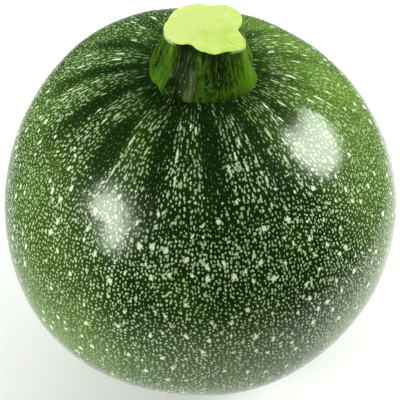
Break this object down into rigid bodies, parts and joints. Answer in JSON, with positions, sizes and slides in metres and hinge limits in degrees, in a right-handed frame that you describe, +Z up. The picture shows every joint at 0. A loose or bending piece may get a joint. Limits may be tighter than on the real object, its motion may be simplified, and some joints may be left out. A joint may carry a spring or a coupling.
{
  "type": "round green summer squash",
  "caption": "Round, slightly flattened dark green summer squash with pale flecks, shallow lobes and a short ridged stem cut level, standing on its flat blossom end.",
  "frame": {"origin": "on the resting plane, at the middle of the squash's footprint", "axes": "+Z up along the squash from blossom end to stem, -Y towards the viewer who sees the stem's deep groove on its front left"},
  "size_m": [0.0962, 0.0958, 0.0986],
  "materials": {
    "skin": "waxy satin, dark green with pale green flecks",
    "stem": "fibrous green, with a moist yellow-green cut face"
  },
  "bodies": {
    "root": {"fruit": "skin", "stem": "stem"}
  },
  "joints": []
}
